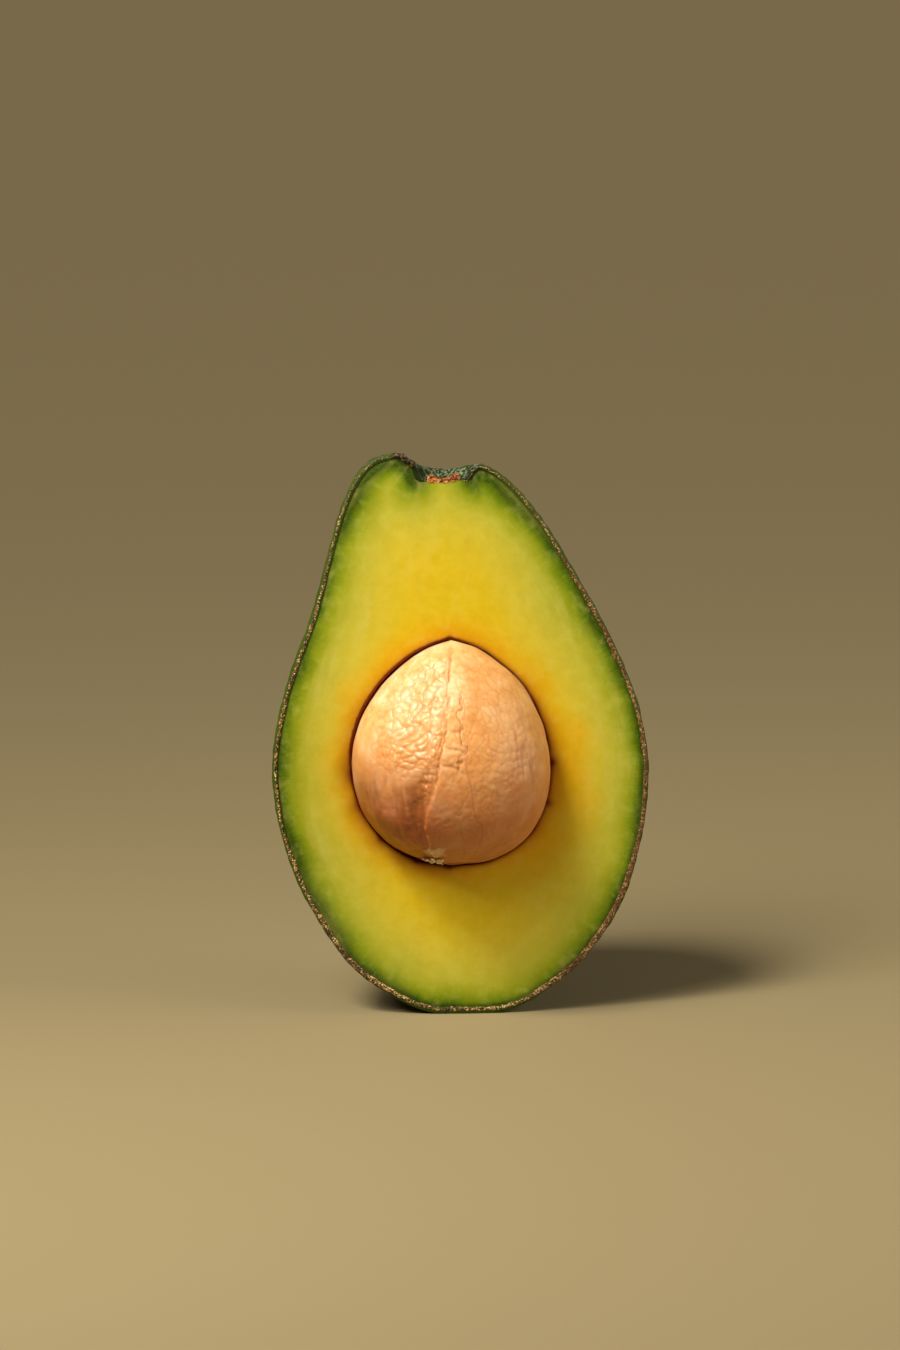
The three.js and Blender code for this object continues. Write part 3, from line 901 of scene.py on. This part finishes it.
# Ripe avocado flesh cut with a knife: buttery and moist, green under the rind and golden round the stone,
# with clouds of 9 mm and smears of 3 mm in its colour. Its patterns across the face follow the measures that
# the piece carries, which are in millimetres.
def fleshMaterial():
    material, tree = newMaterial("Cut avocado flesh")
    place = addNode(tree, "TexCoord").outputs["Object"]
    measures = ("fromSkin", "greenShiftAndShade", "fromStone", "fromGoldAndShadow", "around", "intoHollow", "belowStem", "fan",
                "flow", "height", "browning", "film")
    values = {name: addNode(tree, "Attribute", attribute_name=name).outputs["Fac"] for name in measures}
    cloud = addNode(tree, "TexNoise", {"Vector": place, "Scale": 110.0, "Detail": 4.0, "Roughness": 0.6})
    # greenShiftAndShade moves the green ramp, and near the notch it paints shade
    greenGap = addNode(tree, "Math", {0: values["fromSkin"], 1: values["greenShiftAndShade"]}, operation="ADD")
    shifted = addNode(tree, "Math", {0: cloud.outputs["Fac"], 1: 3.8, 2: greenGap.outputs[0]},
                      operation="MULTIPLY_ADD")
    lines = addNode(tree, "CombineXYZ", {"X": values["around"], "Y": values["fromSkin"]})
    radial = addNode(tree, "Mapping", {"Vector": lines.outputs[0], "Scale": (2.2, 0.16, 1.0)})
    radialNoise = addNode(tree, "TexNoise", {"Vector": radial.outputs[0], "Scale": 1.0, "Detail": 4.0,
                          "Roughness": 0.65})
    jagged = addNode(tree, "Math", {0: radialNoise.outputs["Fac"], 1: 1.1, 2: shifted.outputs[0]},
                     operation="MULTIPLY_ADD")
    skinShare = addNode(tree, "MapRange", {"Value": jagged.outputs[0], "From Min": 2.5, "From Max": 19.5})
    green = addNode(tree, "ValToRGB", {"Fac": skinShare.outputs["Result"]},
                    [(0.0, "#304c02"), (0.05, "#587204"), (0.12, "#80920e"), (0.21, "#a0a420"),
                     (0.34, "#b9b434"), (0.6, "#cdbb32"), (1.0, "#d8bb18")])

    # pale strands: along the flanks as brush-like strokes, and fanned out below the stem
    course = addNode(tree, "CombineXYZ", {"X": values["flow"], "Y": values["height"]})
    flank = addNode(tree, "Mapping", {"Vector": course.outputs[0], "Rotation": (0, 0, 0.04),
                    "Scale": (0.42, 0.06, 1.0)})
    flankNoise = addNode(tree, "TexNoise", {"Vector": flank.outputs[0], "Scale": 1.0, "Detail": 4.0,
                         "Roughness": 0.6})
    heightShare = addNode(tree, "MapRange", {"Value": values["height"], "From Max": 100.0})
    inBand = addNode(tree, "ValToRGB", {"Fac": skinShare.outputs["Result"]},
                     [(0.05, "#000000"), (0.22, "#ffffff"), (0.6, "#bbbbbb"), (0.9, "#404040")])
    flankShare = addNode(tree, "MapRange", {"Value": flankNoise.outputs["Fac"], "From Min": 0.46,
                         "From Max": 0.74, "To Max": 0.42})
    aboveBase = addNode(tree, "ValToRGB", {"Fac": heightShare.outputs["Result"]},
                        [(0.14, "#000000"), (0.34, "#ffffff"), (0.82, "#ffffff"), (0.96, "#303030")])
    bandShare = addNode(tree, "Math", {0: aboveBase.outputs["Color"], 1: inBand.outputs["Color"]},
                        operation="MULTIPLY")
    flankPale = addNode(tree, "Math", {0: flankShare.outputs["Result"], 1: bandShare.outputs[0]},
                        operation="MULTIPLY")
    strands = addNode(tree, "CombineXYZ", {"X": values["fan"], "Y": values["belowStem"]})
    drawn = addNode(tree, "Mapping", {"Vector": strands.outputs[0], "Scale": (0.12, 0.04, 1.0)})
    strandNoise = addNode(tree, "TexNoise", {"Vector": drawn.outputs[0], "Scale": 1.0, "Detail": 4.0})
    strandShare = addNode(tree, "MapRange", {"Value": strandNoise.outputs["Fac"], "From Min": 0.5,
                          "From Max": 0.75, "To Max": 0.18})
    paleShare = addNode(tree, "Math", {0: flankPale.outputs[0], 1: strandShare.outputs["Result"]},
                        operation="MAXIMUM")
    streaked = addNode(tree, "Mix", {0: paleShare.outputs[0], 6: green.outputs["Color"],
                       7: colour("#cfc565")}, data_type="RGBA")
    # fromGoldAndShadow widens the gold below the stone's right, partly as painted shadow of the stone
    stoneShift = addNode(tree, "Math", {0: cloud.outputs["Fac"], 1: 9.0, 2: values["fromGoldAndShadow"]},
                         operation="MULTIPLY_ADD")
    stoneShare = addNode(tree, "MapRange", {"Value": values["fromStone"], "From Max": 12.0})
    gold = addNode(tree, "ValToRGB", {"Fac": stoneShare.outputs["Result"]},
                   [(0.0, "#c48a04"), (0.08, "#d69c04"), (0.3, "#dcac06")])
    howGold = addNode(tree, "MapRange", {"Value": stoneShift.outputs[0], "From Min": 11.5, "From Max": 4.6},
                      interpolation_type="SMOOTHSTEP")
    golden = addNode(tree, "Mix", {0: howGold.outputs["Result"], 6: streaked.outputs[2],
                     7: gold.outputs["Color"]}, data_type="RGBA")
    patches = addNode(tree, "TexNoise", {"Vector": place, "Scale": 330.0, "Detail": 5.0, "Roughness": 0.7})
    darkPatches = addNode(tree, "MapRange", {"Value": patches.outputs["Fac"], "From Min": 0.48,
                          "From Max": 0.72, "To Max": 0.17})
    palePatches = addNode(tree, "MapRange", {"Value": patches.outputs["Fac"], "From Min": 0.5,
                          "From Max": 0.28, "To Max": 0.25})
    dulled = addNode(tree, "Mix", {0: darkPatches.outputs["Result"], 6: golden.outputs[2],
                     7: colour("#a48a12")}, data_type="RGBA")
    faceTone = addNode(tree, "Mix", {0: palePatches.outputs["Result"], 6: dulled.outputs[2],
                       7: colour("#d6ca62")}, data_type="RGBA")
    browned = addNode(tree, "Mix", {0: values["browning"], 6: faceTone.outputs[2], 7: colour("#6a1e04")},
                      data_type="RGBA")
    hollowShare = addNode(tree, "MapRange", {"Value": values["intoHollow"], "From Max": 0.35})
    wall = addNode(tree, "Mix", {0: values["film"], 6: colour("#a0420e"), 7: colour("#b8a888")},
                   data_type="RGBA")
    toned = addNode(tree, "Mix", {0: hollowShare.outputs["Result"], 6: browned.outputs[2],
                    7: wall.outputs[2]}, data_type="RGBA")
    relief = addNode(tree, "Bump", {"Height": strandNoise.outputs["Fac"], "Strength": 0.15,
                     "Distance": 0.0003})
    shader = addNode(tree, "BsdfPrincipled", {"Base Color": toned.outputs[2], "Roughness": 0.45,
                     "Specular IOR Level": 0.2, "Subsurface Weight": 0.35,
                     "Subsurface Radius": (3.0, 2.2, 0.6), "Subsurface Scale": 0.001,
                     "Normal": relief.outputs["Normal"]})
    addNode(tree, "OutputMaterial", {"Surface": shader.outputs[0]})
    return material


# The peeled seed of the fruit: firm, waxy and moist, tan in clouds of 4 mm, with pinkish veins. Its left leaf
# is paler and its right darker, partly their own tones and partly painted light; painted shade darkens its
# creases, valleys and lower part, and its foot is redder. Grain of 0.7 mm breaks up its gloss.
def stoneMaterial():
    material, tree = newMaterial("Peeled avocado stone")
    place = addNode(tree, "TexCoord").outputs["Object"]
    values = {name: addNode(tree, "Attribute", attribute_name=name).outputs["Fac"]
              for name in ("creaseShade", "vein", "side", "height", "valleyShade", "crust")}
    cloud = addNode(tree, "TexNoise", {"Vector": place, "Scale": 260.0, "Detail": 5.0, "Roughness": 0.6})
    # the left leaf paler and the right darker: partly their own tones, partly painted light, as the left
    # faces the lamp
    left = addNode(tree, "ValToRGB", {"Fac": cloud.outputs["Fac"]},
                   [(0.3, "#e4a25c"), (0.5, "#f0be82"), (0.7, "#f8d8aa")])
    right = addNode(tree, "ValToRGB", {"Fac": cloud.outputs["Fac"]},
                    [(0.3, "#d8944e"), (0.5, "#e4a864"), (0.7, "#ecba7e")])
    toRight = addNode(tree, "MapRange", {"Value": values["side"], "From Min": -1.0, "From Max": 6.0})
    sides = addNode(tree, "Mix", {0: toRight.outputs["Result"], 6: left.outputs["Color"],
                    7: right.outputs["Color"]}, data_type="RGBA")
    # the foot darker and redder towards the bottom: partly its own colour, partly painted shade on its
    # underside
    toFoot = addNode(tree, "MapRange", {"Value": values["height"], "From Min": 13.0, "From Max": -12.0})
    footShare = addNode(tree, "Math", {0: toFoot.outputs["Result"], 1: 0.93}, operation="MULTIPLY")
    evened = addNode(tree, "MapRange", {"Value": toRight.outputs["Result"], "To Min": 1.0, "To Max": 0.66})
    footTintAndShade = addNode(tree, "Math", {0: footShare.outputs[0], 1: evened.outputs["Result"]},
                       operation="MULTIPLY")
    footToneAndShade = addNode(tree, "ValToRGB", {"Fac": toFoot.outputs["Result"]},
                       [(0.15, "#eba83c"), (0.45, "#cc7826"), (0.8, "#a44806")])
    base = addNode(tree, "Mix", {0: footTintAndShade.outputs[0], 6: sides.outputs[2], 7: footToneAndShade.outputs["Color"]},
                   data_type="RGBA")
    # painted shade: the valleys and the sunken strip darkened to brown
    valleyShadeShare = addNode(tree, "Math", {0: values["valleyShade"], 1: 0.75}, operation="MULTIPLY")
    valleyShaded = addNode(tree, "Mix", {0: valleyShadeShare.outputs[0], 6: base.outputs[2], 7: colour("#84400c")},
                       data_type="RGBA")
    # painted shade: the creases and cracks darkened to deep orange
    creaseShaded = addNode(tree, "Mix", {0: values["creaseShade"], 6: valleyShaded.outputs[2], 7: colour("#bd6d24")},
                      data_type="RGBA")
    veinShare = addNode(tree, "Math", {0: values["vein"], 1: 0.35}, operation="MULTIPLY")
    veined = addNode(tree, "Mix", {0: veinShare.outputs[0], 6: creaseShaded.outputs[2], 7: colour("#a5512c")},
                     data_type="RGBA")
    crusted = addNode(tree, "Mix", {0: values["crust"], 6: veined.outputs[2], 7: colour("#d8b482")},
                      data_type="RGBA")
    gloss = addNode(tree, "MapRange", {"Value": values["side"], "From Min": -3.0, "From Max": 3.0,
                    "To Min": 0.36, "To Max": 0.5})
    grain = addNode(tree, "TexNoise", {"Vector": place, "Scale": 1500.0, "Detail": 2.0})
    relief = addNode(tree, "Bump", {"Height": grain.outputs["Fac"], "Strength": 0.12, "Distance": 0.0002})
    shader = addNode(tree, "BsdfPrincipled", {"Base Color": crusted.outputs[2],
                     "Roughness": gloss.outputs["Result"], "Subsurface Weight": 0.25,
                     "Subsurface Radius": (1.6, 0.8, 0.4), "Subsurface Scale": 0.001,
                     "Normal": relief.outputs["Normal"]})
    addNode(tree, "OutputMaterial", {"Surface": shader.outputs[0]})
    return material


# Dried seed coat, torn to crumbs: pale and papery, flecked every half millimetre, and it lets some light
# through where it is thin.
def crumbMaterial():
    material, tree = newMaterial("Dry seed-coat crumb")
    place = addNode(tree, "TexCoord").outputs["Object"]
    flecks = addNode(tree, "TexNoise", {"Vector": place, "Scale": 1800.0, "Detail": 3.0})
    tone = addNode(tree, "ValToRGB", {"Fac": flecks.outputs["Fac"]},
                   [(0.35, "#a87c4a"), (0.5, "#dcbf94"), (0.65, "#f0e0c4")])
    shader = addNode(tree, "BsdfPrincipled", {"Base Color": tone.outputs["Color"], "Roughness": 0.6,
                     "Subsurface Weight": 0.4, "Subsurface Radius": (0.8, 0.6, 0.4),
                     "Subsurface Scale": 0.001})
    addNode(tree, "OutputMaterial", {"Surface": shader.outputs[0]})
    return material


# Rind that dried and cracked: dark brown scabs with paler worn spots of 0.7 mm.
def scabMaterial():
    material, tree = newMaterial("Cracked dry rind")
    place = addNode(tree, "TexCoord").outputs["Object"]
    blotches = addNode(tree, "TexNoise", {"Vector": place, "Scale": 1400.0, "Detail": 4.0})
    tone = addNode(tree, "ValToRGB", {"Fac": blotches.outputs["Fac"]},
                   [(0.4, "#140d06"), (0.52, "#362410"), (0.62, "#6c4a26"), (0.72, "#a07c4e")])
    shader = addNode(tree, "BsdfPrincipled", {"Base Color": tone.outputs["Color"], "Roughness": 0.75})
    addNode(tree, "OutputMaterial", {"Surface": shader.outputs[0]})
    return material


# Dried stalk tissue: matt orange-brown cork, with holes of about 1 mm between its fibres, darkened with
# painted shade.
def corkMaterial():
    material, tree = newMaterial("Dry stem cork")
    place = addNode(tree, "TexCoord").outputs["Object"]
    fibre = addNode(tree, "TexNoise", {"Vector": place, "Scale": 1000.0, "Detail": 4.0, "Distortion": 0.6})
    # painted shade: the tone darkens where the bump below sinks, in the holes between the fibres
    tone = addNode(tree, "ValToRGB", {"Fac": fibre.outputs["Fac"]},
                   [(0.36, "#180a04"), (0.46, "#6a2e10"), (0.54, "#b0601e"), (0.62, "#cf8a44"),
                    (0.7, "#e6c090")])
    relief = addNode(tree, "Bump", {"Height": fibre.outputs["Fac"], "Strength": 0.6, "Distance": 0.0003})
    shader = addNode(tree, "BsdfPrincipled", {"Base Color": tone.outputs["Color"], "Roughness": 0.85,
                     "Normal": relief.outputs["Normal"]})
    addNode(tree, "OutputMaterial", {"Surface": shader.outputs[0]})
    return material


# The studio: a pale floor that runs out of sight, one large light from above and two softboxes.
studio = {
    "floorSize": 40.0,
    "floorColour": "#93835c",
    "skyColour": "#e8dcc4",
    "skyStrength": 0.09,
    "lightColour": "#fff9f0",
    "azimuth": -3.5,
    "elevation": 10.0,
    "distance": 1.0,
    "lens": 135.5,
    "aim": (-1.6, 0.0, 66.4),
    "topLight": {"toward": (-0.43, -0.353, 0.831), "angle": 13.0, "strength": 2.1},
    "softboxes": [  # direction, distance, size and power: one at the left, and a reflector at the right
        ((-0.52, -0.54, 0.66), 0.35, 0.17, 1.25),
        ((0.92, -0.3, 0.27), 0.5, 0.3, 1.1),
    ],
}


def makeStudio():
    look = studio
    deselectAll()
    bpy.ops.mesh.primitive_plane_add(size=look["floorSize"])
    floor = bpy.context.object
    floor.name = "floor"
    material, tree = newMaterial("Pale studio paper")  # matt, so that it takes soft shadows and no shine
    shader = addNode(tree, "BsdfPrincipled", {"Base Color": colour(look["floorColour"]), "Roughness": 0.9})
    addNode(tree, "OutputMaterial", {"Surface": shader.outputs[0]})
    floor.data.materials.append(material)

    aim = Vector(look["aim"]) * mm
    azimuth, elevation = math.radians(look["azimuth"]), math.radians(look["elevation"])
    level = math.cos(elevation)
    back = Vector((math.sin(azimuth) * level, -math.cos(azimuth) * level, math.sin(elevation)))
    bpy.ops.object.camera_add(location=aim + back * look["distance"])
    camera = bpy.context.object
    camera.rotation_euler = (-back).to_track_quat("-Z", "Y").to_euler()
    camera.data.lens = look["lens"]
    camera.data.clip_start = 0.05
    bpy.context.scene.camera = camera

    top = look["topLight"]
    toward = Vector(top["toward"])
    bpy.ops.object.light_add(type="SUN", location=toward)
    light = bpy.context.object
    light.data.angle = math.radians(top["angle"])
    light.data.energy = top["strength"]
    light.data.color = colour(look["lightColour"])[:3]
    light.rotation_euler = toward.to_track_quat("Z", "Y").to_euler()

    for direction, distance, size, power in look["softboxes"]:
        toward = Vector(direction).normalized()
        bpy.ops.object.light_add(type="AREA", location=aim + toward * distance)
        light = bpy.context.object
        light.data.size = size
        light.data.energy = power
        light.data.color = colour(look["lightColour"])[:3]
        light.rotation_euler = toward.to_track_quat("Z", "Y").to_euler()

    world = bpy.data.worlds.new("Pale studio")
    bpy.context.scene.world = world
    world.use_nodes = True
    background = world.node_tree.nodes["Background"]
    background.inputs["Color"].default_value = colour(look["skyColour"])
    background.inputs["Strength"].default_value = look["skyStrength"]
    bpy.context.scene.view_settings.view_transform = "Standard"


makeStudio()
print("studio set")
makeSkin(rindMaterial())
makeGrit(gritMaterial())
makePlates(scabMaterial())
print("skin made")
makeFlesh(fleshMaterial())
print("flesh made")
makeStone(stoneMaterial())
makeFlakes(crumbMaterial())
print("stone made")
makeScar(corkMaterial())
print("stem scar made")
